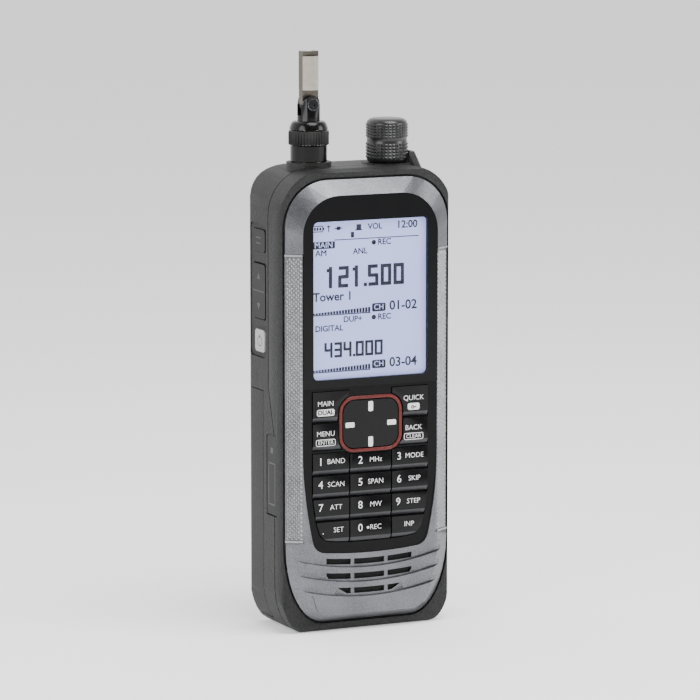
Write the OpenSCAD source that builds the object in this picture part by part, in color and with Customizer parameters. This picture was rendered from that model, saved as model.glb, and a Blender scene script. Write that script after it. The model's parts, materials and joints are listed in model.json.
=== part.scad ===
/* [Case] */
// Width of the case
case_w = 57.8; // [57:0.2:59]
// Height of the case from its foot to its top face
case_h = 143; // [142.5:0.5:145]
// Depth from the key faces to the back of the head
case_d = 30.5; // [30:0.5:32]
// Wall thickness of the two case halves
wall = 1.8; // [1.6:0.1:2]
// Radius of the two top corners, seen from the front
top_r = 14; // [13:0.5:15]
// Width of the dark groove between the case and the front frame
groove = 0.7; // [0.4:0.1:0.8]

/* [Display] */
// Width of the clear window
window_w = 38.6; // [36:0.2:39]
// Height of the clear window
window_h = 48.6; // [46:0.2:49]
// Height of the window's lower edge above the foot
window_z = 79; // [78.5:0.1:80]

/* [Keys] */
// Vertical distance from one row of number keys to the next
key_pitch = 7.15; // [7:0.05:7.2]
// Height of one number key
key_h = 6.7; // [6:0.1:6.8]
// Gap round a key in its bezel
key_gap = 0.2; // [0.15:0.05:0.25]
// Outer width of the ring round the direction pad
ring_w = 21.3; // [20:0.1:21.6]
// Outer height of the ring round the direction pad
ring_h = 17.5; // [16.5:0.1:17.6]
// Travel of a key
key_travel = 0.5; // [0.3:0.1:0.6]

/* [Dial] */
// Distance of the dial from the centre plane
dial_x = 13; // [12.5:0.1:13.5]
// Largest radius of the dial
dial_r = 6.7; // [6:0.1:6.8]
// Height of the dial
dial_h = 13.5; // [12:0.5:14]

/* [Antenna] */
// Distance of the antenna from the centre plane
antenna_x = 13.5; // [13:0.1:14]
// Radius of the black post
post_r = 3.5; // [3.4:0.05:3.6]
// Width of the whip across its flats
whip_w = 5.3; // [5:0.1:5.6]
// Radius of the whip's round barrel
whip_r = 3.05; // [2.9:0.05:3.1]
// Height of the whip's barrel above its tongue
whip_h = 10.4; // [10:0.2:12]

/* [Earphone jack] */
// Radius of the earphone plug's hole
jack_r = 1.78; // [1.75:0.01:1.8]
// Depth of the earphone plug's hole
jack_depth = 14; // [12:0.5:15]

/* [Belt clip] */
// Distance between the two belt-clip screw holes
clip_spacing = 24; // [20:1:28]
// Radius of the tapped holes
clip_hole_r = 1.25; // [1.2:0.05:1.3]

/* [Hidden] */
$fn = 48;
eps = 0.01;
steps = 10;
far = 200;

// planes along Y, from the face of the keys to the back
face_y = -case_d/2;
back_y = case_d/2;
rim_y = face_y + 3.05;
frame_back_y = rim_y + 1.2;
ledge_y = frame_back_y + 1.4;
lens_back_y = face_y + 1.2;
shelf_y = face_y + 1.4;
panel_back_y = face_y + 2.05;
bezel_y = face_y + 0.5;
bezel_back_y = face_y + 1.3;
lcd_y = face_y + 1.38;
lcd_back_y = lcd_y + 1.6;
mat_y = face_y + 2.75;
board_y = face_y + 5.15;
board_t = 1;
chassis_y = board_y + board_t + 1.6;
chassis_t = 1.3;
rf_board_y = chassis_y + chassis_t + 0.7;
seam_y = -2.6;
low_seam_y = -7.1;
bay_y = 1;
bay_wall = 1.8;
foot_back_y = 12.2;

// heights
seam_turn_z = [60.5, 76];
shelf_z = 2.8;
battery_top_z = 74.3;
back_step_z = [62, 74.5];
lens_foot_z = 76.4;
row_z = 28.1;
pad_z = 64.65;
top_z = case_h;

// outlines
half_w = case_w/2;
foot_rx = 8;
foot_rz = 15;
frame_w = half_w - 1.55;
frame_z = [3.3, case_h - 3];
frame_rt = 13.9;
frame_rx = 12.4;
frame_rz = 23.6;
facet = 4.6;
facet_d = rim_y - face_y;
knurl_z = [28.9, 118];
knurl_t = 0.42;
fascia_w = frame_w - facet;
fascia_top = frame_z[1] - facet;
ring_r = 5;
ring_t = 1.1;

// top fittings
axis_y = 1;
boss_top = top_z + 1.5;
jack_shell_r = 4.85;
dial_z = top_z + 0.4;
shaft_r = 3;
coupling_z = boss_top + 0.15;
cone_z = coupling_z + 9.9;
post_z = cone_z + 2.5;
pivot_z = post_z + 5.1;
ear_r = 2.75;
tongue_t = 2.7;
pin_r = 0.9;
barrel_z = pivot_z + 4.4;
tip_cap_h = 0.45;

// left side
side_x = -half_w;
key_face_x = side_x + 0.05;
key_panel = 0.5;
cover_y = [-8.8, -1.4];
cover_z = [36.4, 61.4];
cover_t = 1;
jack_y = -5;
jack_z = 56.6;

run = 0.05;

case_c = "#3b3b3d";
frame_c = "#8d8f93";
gloss_c = "#141416";
rubber_c = "#2a2a2b";
metal_c = "#c9c5bb";
black_c = "#1c1c1e";
board_c = "#1f5a3c";
red_c = "#a2433c";
white_c = "#d5d6d4";
screen_c = "#c9d0e6";

// points on an elliptical arc
function arc(cx, cz, rx, rz, a0, a1, n = steps) =
    [for (i = [0:n]) let (t = a0 + (a1 - a0)*i/n) [cx + rx*cos(t), cz + rz*sin(t)]];

// mirrors a right-hand half outline, listed from the bottom up, to a whole one
function whole(half) =
    concat(half, [for (i = [len(half) - 1:-1:0]) if (half[i][0] > eps) [-half[i][0], half[i][1]]]);

// a rounded outline with round top corners and elliptical bottom corners
function shield(w, z0, z1, rt, rx, rz) =
    whole(concat(arc(w - rx, z0 + rz, rx, rz, -90, 0), arc(w - rt, z1 - rt, rt, rt, 0, 90)));

// the front frame's outline, grown by g
function frame_line(g) =
    shield(frame_w + g, frame_z[0] - g, frame_z[1] + g, frame_rt + g, frame_rx + g, frame_rz + g);

// half width of the fascia at a height: its lower sides lean in
function fascia_half(z, in) = fascia_w - in - 0.00428*pow(max(0, 56 - z), 2);

// the fascia's outline, moved in by s at the sides and top and by b at the bottom
function fascia_line(s, b) =
    whole(concat(
        [for (x = [0:3:12]) [x, 24.4 + b + 0.8*pow(x/15.25, 2)]],
        arc(15.25 - 0.8*s, 29.6 + b, 4.4, 4.4, -90, -15, 6),
        [for (z = [31 + b:3:56 + b]) [fascia_half(z, s), z]],
        arc(fascia_w - 12, fascia_top - 12, 12 - s, 12 - s, 0, 90)));

// outline of the jack cover in Y and Z, grown by g
function cover_line(g) = concat(
    arc(cover_y[1] - 1.3, cover_z[1] - 1.3, 1.3 + g, 1.3 + g, 0, 90, 6),
    arc(cover_y[0] + 1.3, cover_z[1] - 1.3, 1.3 + g, 1.3 + g, 90, 180, 6),
    [[cover_y[0] - g, cover_z[0] - 1.5*g], [cover_y[1] + g, cover_z[0] - 1.5*g]]);

function box_line(x0, x1, z0, z1) = [[x0, z0], [x1, z0], [x1, z1], [x0, z1]];

// a box outline with rounded corners, grown by g
function round_box(x, z, r, g) =
    let (s = r + g)
    concat(arc(x[1] - r, z[1] - r, s, s, 0, 90, 6), arc(x[0] + r, z[1] - r, s, s, 90, 180, 6),
           arc(x[0] + r, z[0] + r, s, s, 180, 270, 6), arc(x[1] - r, z[0] + r, s, s, 270, 360, 6));

function ring_line(g) =
    round_box([-ring_w/2, ring_w/2], [pad_z - ring_h/2, pad_z + ring_h/2], ring_r, g);

// extrudes an outline in X and Z from y0 to y1
module slab(y0, y1) {
    translate([0, y1, 0]) rotate([90, 0, 0]) linear_extrude(y1 - y0) children();
}

// extrudes an outline in Y and Z across the case, from x0 to x1
module across(x0, x1) {
    translate([x0, 0, 0]) rotate([90, 0, 90]) linear_extrude(x1 - x0) children();
}

module block(x, y, z) {
    translate([x[0], y[0], z[0]]) cube([x[1] - x[0], y[1] - y[0], z[1] - z[0]]);
}

module post(x, y, z0, z1, r) {
    translate([x, y, z0]) cylinder(h = z1 - z0, r = r);
}

// a cylinder along Y
module rod(x, z, y0, y1, r) {
    translate([x, y1, z]) rotate([90, 0, 0]) cylinder(h = y1 - y0, r = r);
}

// the case's whole outer form, moved in by i
module form(i) {
    w = half_w - i;
    intersection() {
        slab(face_y, back_y)
            polygon(shield(w, i, top_z - i, top_r - i/2, foot_rx - i/2, foot_rz - i/2));
        linear_extrude(top_z) polygon(concat(
            arc(w - 1.6, rim_y + i + 4.4, 1.6, 4.4, -90, 0, 6),
            arc(w - 5.4, back_y - i - 5.4, 5.4, 5.4, 0, 90, 6),
            arc(5.4 - w, back_y - i - 5.4, 5.4, 5.4, 90, 180, 6),
            arc(1.6 - w, rim_y + i + 4.4, 1.6, 4.4, 180, 270, 6)));
        across(-w - 1, w + 1) polygon(concat(
            arc(rim_y + i + 2, i + 2, 2, 2, -180, -90, 4),
            arc(foot_back_y - i - 2.5, i + 2.5, 2.5, 2.5, -90, 0, 5),
            [[foot_back_y - i, back_step_z[0]], [back_y - i, back_step_z[1]]],
            arc(back_y - i - 3.5, top_z - i - 3.5, 3.5, 3.5, 0, 90, 6),
            [[rim_y + i + 3, top_z - i], [rim_y + i, top_z - i - 0.9]]));
    }
}

// everything behind the seam between the two halves
module behind_seam() {
    across(-half_w - 2, half_w + 2) polygon([[low_seam_y, -1], [low_seam_y, seam_turn_z[0]],
        [seam_y, seam_turn_z[1]], [seam_y, top_z + 1], [back_y + 1, top_z + 1], [back_y + 1, -1]]);
}

// a fine groove round the outside where the two halves meet
module seam_groove() {
    y0 = low_seam_y - 0.4;
    y1 = seam_y - 0.4;
    difference() {
        across(-half_w - 1, half_w + 1) polygon([[y0, -1], [y0, seam_turn_z[0]], [y1, seam_turn_z[1]],
            [y1, top_z + 1], [seam_y + eps, top_z + 1], [seam_y + eps, seam_turn_z[1]],
            [low_seam_y + eps, seam_turn_z[0]], [low_seam_y + eps, -1]]);
        form(0.55);
    }
}

module port_recess() {
    across(side_x - 1, side_x + 1.2) polygon(cover_line(0.1));
    block([side_x, side_x + wall + 1], [-6.9, -2], [38.6, 51.4]);
    translate([side_x, jack_y, jack_z]) rotate([0, 90, 0]) cylinder(h = wall + 1, r = 2.6);
}

screw_x = 22.5;
screw_z = [12, 132.5];

contact_x = [-6, -2, 2, 6];

module front_case() {
    color(case_c) difference() {
        union() {
            difference() {
                form(0);
                behind_seam();
                intersection() {
                    form(wall);
                    block([-half_w, half_w], [ledge_y, back_y], [0, top_z]);
                }
            }
            for (s = [-1, 1]) {
                rod(s*screw_x, screw_z[0], ledge_y - 0.4, low_seam_y, 2.4);
                rod(s*screw_x, screw_z[1], ledge_y - 0.4, seam_y, 2.4);
            }
        }
        slab(face_y - 1, frame_back_y) polygon(frame_line(groove));
        slab(face_y, ledge_y + eps) polygon(frame_line(-1.6));
        port_recess();
        seam_groove();
        top_bosses(0.05);
        for (s = [-1, 1]) {
            rod(s*screw_x, screw_z[0], ledge_y, 0, 1.1 + run);
            rod(s*screw_x, screw_z[1], ledge_y, 0, 1.1 + run);
        }
    }
}

// windows for the three side keys, grown by g
module side_windows(x0, x1, g) {
    for (k = [[[-0.2, 9.4], [117.1, 124]], [[-0.2, 9.4], [96.2, 113.5]], [[0.3, 7.3], [86.1, 93]]])
        across(x0, x1) polygon(round_box(k[0], k[1], 1.2, g));
}

module clip_holes(r) {
    for (s = [-1, 1]) rod(s*clip_spacing/2, 100, back_y - 6, back_y + 1, r);
}

module rear_case() {
    color(case_c) difference() {
        union() {
            difference() {
                intersection() { form(0); behind_seam(); }
                difference() {
                    form(wall);
                    block([-half_w, half_w], [bay_y - bay_wall, back_y], [0, battery_top_z + bay_wall]);
                }
                block([-half_w - 1, half_w + 1], [bay_y, back_y + 1], [shelf_z, battery_top_z + 0.2]);
            }
            top_bosses(0);
            block([-16, -14], [bay_y - eps, bay_y + 0.55], [shelf_z - eps, battery_top_z + 0.3]);
            for (s = [-1, 1]) {
                rod(s*screw_x, screw_z[1], seam_y, back_y - wall + eps, 2.9);
                rod(s*clip_spacing/2, 100, back_y - 6.5, back_y - wall + eps, 2.9);
                rod(s*screw_x, screw_z[0], low_seam_y, bay_y - bay_wall, 2.4);
            }
        }
        post(-antenna_x, axis_y, top_z - wall - 1, boss_top + 1, jack_shell_r + run);
        post(dial_x, axis_y, top_z - wall - 1, top_z + 1, 3.5 + run);
        across(side_x - 1, side_x + key_panel) polygon(round_box([-1.2, 11.4], [84.4, 125.8], 2.2, 0));
        side_windows(side_x, side_x + wall + 1, 0.15);
        port_recess();
        clip_holes(clip_hole_r);
        for (x = contact_x)
            block([x - 0.95, x + 0.95], [bay_y - bay_wall - 1, bay_y + 1], [65.85, 70.15]);
        for (s = [-1, 1]) {
            rod(s*screw_x, screw_z[1], seam_y - 1, back_y, 1.1 + run);
            rod(s*screw_x, screw_z[1], back_y - 2, back_y + 1, 2.3);
            rod(s*screw_x, screw_z[0], low_seam_y - 1, bay_y, 1.1 + run);
            rod(s*screw_x, screw_z[0], bay_y - 0.8, bay_y + 1, 2.3);
        }
    }
}

// the antenna's and the dial's bosses, which cross the seam, grown by g
module top_bosses(g) {
    post(-antenna_x, axis_y, top_z - wall - (g > 0 ? 1.3 : eps), boss_top, 6.95 + g);
    post(dial_x, axis_y, top_z - wall - eps - g, top_z + 0.2, 7.9 + g);
    dial_guard();
}

// a curved wall that stands beside the dial
module dial_guard() {
    intersection() {
        difference() {
            translate([dial_x, axis_y, top_z - wall]) cylinder(h = 5.2, r1 = 10.9, r2 = 8.6);
            post(dial_x, axis_y, top_z - 2*wall, top_z + 5, 7.3);
        }
        translate([dial_x, axis_y, top_z - wall]) linear_extrude(8) polygon([[0, 0], [14, -14], [14, 9]]);
        across(dial_x, half_w)
            polygon([[-6, top_z - 2], [-4, top_z + 3.4], [6, top_z + 3.4], [8, top_z - 2]]);
    }
}

// one curved speaker channel, from its upper to its lower edge
function channel(k, x1, hi, lo) = let (z = 22.7 - 4.55*k) concat(
    [for (i = [-8:8]) let (x = x1*i/8) [x, z - hi + 1.9*pow(x/23.6, 2)]],
    [for (i = [8:-1:-8]) let (x = x1*i/8) [x, z - lo + (lo > 2.5 ? 3.2 : 1.9)*pow(x/23.6, 2)]]);

module front_frame() {
    color(frame_c) difference() {
        union() {
            slab(rim_y, frame_back_y) polygon(frame_line(0));
            hull() {
                slab(rim_y - eps, rim_y) polygon(frame_line(0));
                slab(face_y, face_y + eps)
                    polygon(shield(fascia_w, 5.5, fascia_top, 12, 8.5, 21));
            }
        }
        slab(face_y - 1, shelf_y) polygon(fascia_line(0, 0));
        slab(face_y, frame_back_y + 1) polygon(fascia_line(1.3, 1.3));
        slab(panel_back_y, frame_back_y + 1) polygon(frame_line(-3.2));
        for (s = [-1, 1])
            translate([0, 0, knurl_z[0]]) linear_extrude(knurl_z[1] - knurl_z[0]) polygon([
                [s*(fascia_w - facet/4), face_y + knurl_t - facet_d/4],
                [s*(frame_w + facet/4), rim_y + knurl_t + facet_d/4],
                [s*(frame_w + facet), face_y - facet_d], [s*(fascia_w - facet/4), face_y - facet_d]]);
        for (s = [-1, 1])
            slab(face_y - 1, face_y + 0.45)
                polygon([[s*19.6, 12.2], [s*26, 13.5], [s*26, 2], [s*16.2, 2]]);
        for (k = [0:2]) {
            slab(face_y - 1, face_y + 1.2) polygon(channel(k, 24.3 - 0.4*k, 0, 2.9));
            slab(face_y, panel_back_y + 1) difference() {
                intersection() {
                    polygon(channel(k, 14.5, 0, 2));
                    translate([0, 27.6]) circle(r = 17.5);
                }
                for (s = [-1, 1]) translate([s*5.7 - 0.6, 0]) square([1.2, 40]);
            }
        }
    }
}

module display_lens() {
    color(gloss_c) slab(face_y, lens_back_y) intersection() {
        polygon(fascia_line(0.1, 0.1));
        polygon(box_line(-half_w, half_w, lens_foot_z, top_z));
    }
}

module lens_mask() {
    color(gloss_c) slab(lens_back_y, lens_back_y + 0.15) difference() {
        intersection() {
            polygon(fascia_line(0.1, 0.1));
            polygon(box_line(-half_w, half_w, lens_foot_z, top_z));
        }
        polygon(box_line(-window_w/2, window_w/2, window_z, window_z + window_h));
    }
}

module lcd_panel() {
    color(screen_c) block([-19.7, 19.7], [lcd_y, lcd_back_y], [77.8, 128.7]);
}

module lcd_backlight() {
    color(white_c) block([-20.8, 20.8], [lcd_back_y, board_y], [77.2, 129.6]);
}

// key places: left, right, bottom and top edges, the number keys row by row and then the four function keys
col_x = [[-19.5, -7.3], [-6.9, 6.9], [7.3, 19.5]];
KEYS = [
    for (r = [0:3]) for (c = [0:2]) [col_x[c][0], col_x[c][1], row_z + (3 - r)*key_pitch,
        row_z + (3 - r)*key_pitch + key_h],
    [-19.5, -7.3, 65.9, 75.3], [-19.5, -7.3, 57.2, 65.4], [7.3, 19.5, 65.9, 75.3], [7.3, 19.5, 57.2, 65.4]];

// outline of key n, grown by g, clear of the ring and the fascia's edge
module key_line(n, g) {
    k = KEYS[n];
    difference() {
        intersection() {
            polygon(box_line(k[0] - g, k[1] + g, k[2] - g, k[3] + g));
            polygon(fascia_line(2.5 - g, 3.6 - g));
        }
        polygon(ring_line(0.45 - g));
    }
}

module key(n) {
    color(gloss_c) {
        slab(face_y, mat_y - key_travel - 0.8) key_line(n, 0);
        slab(mat_y - key_travel - 0.8, mat_y - key_travel - 0.2) key_line(n, 0.15);
    }
}

module keypad_bezel() {
    color(gloss_c) slab(bezel_y, bezel_back_y) difference() {
        intersection() {
            polygon(fascia_line(0.1, 0.1));
            polygon(box_line(-half_w, half_w, 0, lens_foot_z - 0.1));
        }
        for (n = [0:15]) key_line(n, key_gap);
        polygon(ring_line(0.02));
    }
}

module pad_ring() {
    color(red_c) slab(face_y, bezel_back_y) difference() {
        polygon(ring_line(0));
        polygon(ring_line(-ring_t));
    }
}

module keypad_mat() {
    color(rubber_c) slab(mat_y, board_y) polygon(box_line(-20.5, 20.5, 27.6, 76));
}

module pad() {
    color(gloss_c) {
        slab(face_y + 0.15, mat_y - 0.9) polygon(ring_line(-ring_t - 0.2));
        slab(mat_y - 0.9, mat_y - 0.45) polygon(ring_line(-ring_t + 0.4));
    }
}

module pad_pivot() {
    color(metal_c) rod(0, pad_z, mat_y - 0.38, mat_y - 0.07, 0.8);
}

module main_board() {
    color(board_c) slab(board_y, board_y + board_t) polygon(box_line(-24, 24, 28, 129.6));
}

module rf_shields() {
    cans = [[-21, -1.5, 80, 101], [1.5, 21, 80, 101], [-16, 16, 104, 122]];
    color(metal_c) for (c = cans) difference() {
        block([c[0], c[1]], [board_y + board_t, board_y + board_t + 1.4], [c[2], c[3]]);
        block([c[0] + 0.3, c[1] - 0.3], [board_y, board_y + board_t + 1.1], [c[2] + 0.3, c[3] - 0.3]);
    }
}

module chassis() {
    color("silver") difference() {
        slab(chassis_y, chassis_y + chassis_t) polygon(box_line(-24, 24, 29, 129));
        block([-25, -11], [chassis_y - 1, chassis_y + 3], [34, 64]);
    }
}

module rf_board() {
    color(board_c) slab(rf_board_y, rf_board_y + board_t) polygon(box_line(-22, 22, 80, 128));
}

speaker_z = 17.1;
speaker_r = 9.9;
speaker_y = panel_back_y + 0.35;
module speaker_basket() {
    color("silver") difference() {
        union() {
            rod(0, speaker_z, speaker_y, speaker_y + 3, speaker_r);
            rod(0, speaker_z, speaker_y + 3, speaker_y + 5.4, 6);
        }
        rod(0, speaker_z, speaker_y - 1, speaker_y + 2.2, speaker_r - 0.9);
    }
}

module speaker_cone() {
    color(black_c) translate([0, speaker_y + 0.2, speaker_z]) rotate([-90, 0, 0]) difference() {
        cylinder(h = 1.8, r1 = speaker_r - 1.2, r2 = 4.5);
        translate([0, 0, -eps]) cylinder(h = 1.4, r1 = speaker_r - 1.6, r2 = 4);
    }
}

module speaker_mesh() {
    color(black_c) slab(panel_back_y, panel_back_y + 0.3) intersection() {
        polygon(box_line(-15.6, 15.6, 9, 24.6));
        polygon(frame_line(-3.4));
    }
}

module bnc_jack() {
    color(metal_c) translate([-antenna_x, axis_y, 0]) {
        difference() {
            union() {
                translate([0, 0, top_z - wall - 5]) cylinder(h = 13.6, r = jack_shell_r);
                translate([0, 0, top_z - wall - 3.8]) cylinder(h = 2, r = 5.3, $fn = 6);
            }
            translate([0, 0, boss_top - 2]) cylinder(h = 20, r = 4.05);
        }
        translate([0, 0, boss_top - 2 - eps]) difference() {
            cylinder(h = 5.5, r = 1.1);
            cylinder(h = 7, r = 0.7);
        }
    }
}

module encoder_body() {
    color(metal_c) difference() {
        union() {
            block([dial_x - 6, dial_x + 6], [axis_y - 5.5, axis_y + 6], [top_z - 11, top_z - 5]);
            post(dial_x, axis_y, top_z - 5, top_z + 0.1, 3.5);
        }
        post(dial_x, axis_y, top_z - 10, top_z + 1, shaft_r + run);
        post(dial_x, axis_y, top_z - 9.6, top_z - 7.9, shaft_r + 1.1);
    }
}

module case_screws() {
    color("dimgray") for (s = [-1, 1]) difference() {
        union() {
            rod(s*screw_x, screw_z[1], -7.5, back_y - 2, 1.1);
            rod(s*screw_x, screw_z[1], back_y - 2, back_y - 0.8, 2.1);
            rod(s*screw_x, screw_z[0], -8.5, bay_y - 0.8, 1.1);
            rod(s*screw_x, screw_z[0], bay_y - 0.8, bay_y - 0.05, 2.1);
        }
        for (k = [[screw_z[0], bay_y - 0.05], [screw_z[1], back_y - 0.8]])
            for (t = [[1.3, 0.25], [0.25, 1.3]])
                translate([s*screw_x, k[1], k[0]]) cube([2*t[0], 1, 2*t[1]], center = true);
    }
}

module earphone_jack() {
    x0 = side_x + 2.1;
    color(black_c) difference() {
        block([x0, x0 + jack_depth], [jack_y - 2.9, jack_y + 2.9], [jack_z - 3, jack_z + 3]);
        translate([x0 - 1, jack_y, jack_z]) rotate([0, 90, 0]) cylinder(h = jack_depth + 2, r = jack_r);
    }
}

module usb_socket() {
    color(metal_c) difference() {
        block([side_x + 1.4, side_x + 7.2], [-6.8, -4.2], [40.6, 49.4]);
        block([side_x, side_x + 6.8], [-6.5, -4.5], [41, 49]);
    }
}

module card_socket() {
    color(metal_c) difference() {
        block([side_x + 1.4, side_x + 16], [-3.9, -2.1], [38.8, 51.2]);
        block([side_x, side_x + 15.6], [-3.5, -2.5], [39.3, 50.7]);
    }
}

module battery_contacts() {
    color("gold") for (x = contact_x)
        block([x - 0.8, x + 0.8], [bay_y - bay_wall - 2, bay_y + 0.05], [66, 70]);
}

module battery_form(i) {
    intersection() {
        form(i);
        block([-half_w, half_w], [bay_y + 0.15 + i, back_y], [shelf_z + 0.15 + i, battery_top_z - i]);
    }
}

latch_z = 8;
module battery_case() {
    color(case_c) difference() {
        battery_form(0);
        battery_form(1.4);
        block([-16.4, -13.6], [bay_y, bay_y + 0.9], [shelf_z, battery_top_z + 1]);
        block([-9.2, 9.2], [foot_back_y - 2.4, foot_back_y + 1], [shelf_z, latch_z + 6]);
    }
    color(case_c) difference() {
        block([-10.2, 10.2], [foot_back_y - 3.4, foot_back_y - 1.4], [shelf_z + 0.15, latch_z + 7]);
        block([-9.2, 9.2], [foot_back_y - 2.4, foot_back_y + 1], [shelf_z, latch_z + 6]);
    }
}

module battery_cells() {
    color("steelblue") for (s = [-1, 1])
        block([s*12.1 - 11.5, s*12.1 + 11.5], [bay_y + 1.8, bay_y + 8.6], [16, 70]);
}

module battery_latch() {
    color(black_c) {
        block([-9, 9], [foot_back_y - 2.2, foot_back_y - 0.9], [shelf_z + 0.25, latch_z + 3.4]);
        for (z = [latch_z - 2.4:1.6:latch_z + 2.6])
            block([-6.5, 6.5], [foot_back_y - 0.9, foot_back_y - 0.2], [z, z + 0.8]);
    }
}

module dial_knob() {
    top = dial_z + dial_h;
    color(black_c) translate([dial_x, axis_y, 0]) difference() {
        rotate_extrude() polygon([[0, dial_z], [5.8, dial_z], [6.3, dial_z + 0.9], [dial_r, dial_z + 1.2],
            [dial_r, dial_z + 6.2], [dial_r - 0.3, dial_z + 6.4], [dial_r - 0.3, dial_z + 7.5],
            [dial_r - 0.15, dial_z + 7.7], [dial_r - 0.2, dial_z + 12], [dial_r - 0.6, dial_z + 12.9],
            [dial_r - 1.4, top], [0, top]]);
        translate([0, 0, dial_z - 1]) cylinder(h = 10.7, r = shaft_r + 0.02);
        translate([0, 0, dial_z - 1]) difference() {
            cylinder(h = 9.5, r = 5.4);
            cylinder(h = 10, r = 3.9);
        }
    }
}

module dial_shaft() {
    color(metal_c) {
        post(dial_x, axis_y, top_z - 9.9, dial_z + 9.6, shaft_r);
        post(dial_x, axis_y, top_z - 9.5, top_z - 8, shaft_r + 1);
    }
}

module bnc_coupling() {
    color(black_c) translate([-antenna_x, axis_y, 0]) difference() {
        rotate_extrude() polygon([
            [jack_shell_r + 0.1, coupling_z], [5.7, coupling_z], [5.7, coupling_z + 4.9],
            [6.25, coupling_z + 5.1], [6.25, cone_z - 0.5], [5.9, cone_z - 0.15],
            [jack_shell_r + 0.1, cone_z - 0.15]]);
        for (i = [0:23]) rotate([0, 0, i*15]) translate([6.25, 0, coupling_z + 5.5])
            rotate([0, 0, 45]) translate([-0.2, -0.2, 0]) cube([0.4, 0.4, 3.6]);
    }
}

module bnc_plug() {
    color(metal_c) translate([-antenna_x, axis_y, 0]) {
        difference() {
            translate([0, 0, boss_top - 0.6]) cylinder(h = cone_z - boss_top + 0.6, r = 3.95);
            translate([0, 0, boss_top - 1]) cylinder(h = 7, r = 3.2);
        }
        translate([0, 0, boss_top - 1]) cylinder(h = 8, r = 0.62);
    }
}

module antenna_post() {
    color(black_c) translate([-antenna_x, axis_y, 0]) difference() {
        union() {
            translate([0, 0, cone_z]) rotate_extrude()
                polygon([[0, 0], [6, 0], [5.75, 0.9], [5.4, 1.8], [5, 2.3], [4.5, 2.5], [0, 2.5]]);
            intersection() {
                translate([0, 0, post_z - eps]) cylinder(h = 8, r = post_r);
                union() {
                    translate([0, 0, post_z + 1.5]) cube([8, 8, 7.2], center = true);
                    rod(0, pivot_z, -4, 4, ear_r);
                }
            }
        }
        translate([0, 0, pivot_z + 3]) cube([10, tongue_t + 0.2, 12.7], center = true);
        rod(0, pivot_z, -5, 5, pin_r + run);
        rod(0, pivot_z, -5, -post_r + 0.7, 1.7);
    }
}

module pivot_screw() {
    color(black_c) translate([-antenna_x, axis_y, 0]) difference() {
        union() {
            rod(0, pivot_z, -post_r + 0.7, 3.1, pin_r);
            rod(0, pivot_z, -post_r + 0.1, -post_r + 0.7, 1.6);
        }
        rod(0, pivot_z, -post_r - 1, -post_r + 0.5, 0.65);
    }
}

module whip_link() {
    color(metal_c) translate([-antenna_x, axis_y, 0]) difference() {
        union() {
            rod(0, pivot_z, -tongue_t/2, tongue_t/2, whip_w/2);
            translate([-whip_w/2, -tongue_t/2, pivot_z]) cube([whip_w, tongue_t, barrel_z - pivot_z]);
            intersection() {
                translate([0, 0, barrel_z - eps]) cylinder(h = whip_h, r = whip_r);
                translate([-whip_w/2, -5, 0]) cube([whip_w, 10, far]);
            }
            translate([-whip_w/2, -1.5, barrel_z + whip_h - 2*eps]) cube([whip_w, 3, 1.5 + eps]);
        }
        rod(0, pivot_z, -5, 5, pin_r + run);
        translate([0, 0, barrel_z + 0.6]) cylinder(h = 20, r = 1.25);
    }
}

module whip_sleeve() {
    color(metal_c) translate([-antenna_x, axis_y, 0]) difference() {
        translate([0, 0, barrel_z + 0.7]) cylinder(h = whip_h + 0.3, r = 1.2);
        translate([0, 0, barrel_z + 1.2]) cylinder(h = 20, r = 0.85);
    }
}

module whip_tip() {
    color(metal_c) translate([-antenna_x, axis_y, 0]) {
        translate([0, 0, barrel_z + 1.3]) cylinder(h = whip_h - 0.2, r = 0.8);
        translate([0, 0, barrel_z + 1.05 + whip_h]) cylinder(h = tip_cap_h, r = 1.15);
    }
}

// a push key in the left side: a cap that fills its window and a flange inside the wall
module side_cap(y, z) {
    color(rubber_c) {
        across(key_face_x, side_x + wall + 0.2) polygon(round_box(y, z, 1.2, 0));
        block([side_x + wall + 0.2, side_x + wall + 0.7], [y[0] - 0.5, y[1] - 0.7], [z[0] - 0.5, z[1] + 0.5]);
    }
}

module side_key() { side_cap([-0.2, 9.4], [117.1, 124]); }

module power_key() { side_cap([0.3, 7.3], [86.1, 93]); }

module side_rocker() {
    color(rubber_c) {
        across(key_face_x + 0.05, side_x + wall + 0.6) polygon(round_box([-0.2, 9.4], [96.4, 113.3], 1.2, 0));
        translate([side_x + wall + 1, 9.4, 104.85]) rotate([90, 0, 0]) cylinder(h = 9.6, r = 0.6);
    }
}

module port_cover() {
    color(rubber_c) {
        hinge_x = side_x + 0.1 + cover_t/2;
        across(side_x + 0.1, side_x + 0.1 + cover_t) difference() {
            polygon(cover_line(0));
            polygon(box_line(cover_y[0] - 1, cover_y[1] + 1, cover_z[0] - 1, cover_z[0] + cover_t/2));
        }
        rod(hinge_x, cover_z[0] + cover_t/2, cover_y[0], cover_y[1], cover_t/2);
        translate([side_x + cover_t, jack_y, jack_z]) rotate([0, 90, 0]) cylinder(h = 0.8, r = 1.2);
    }
}

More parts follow.
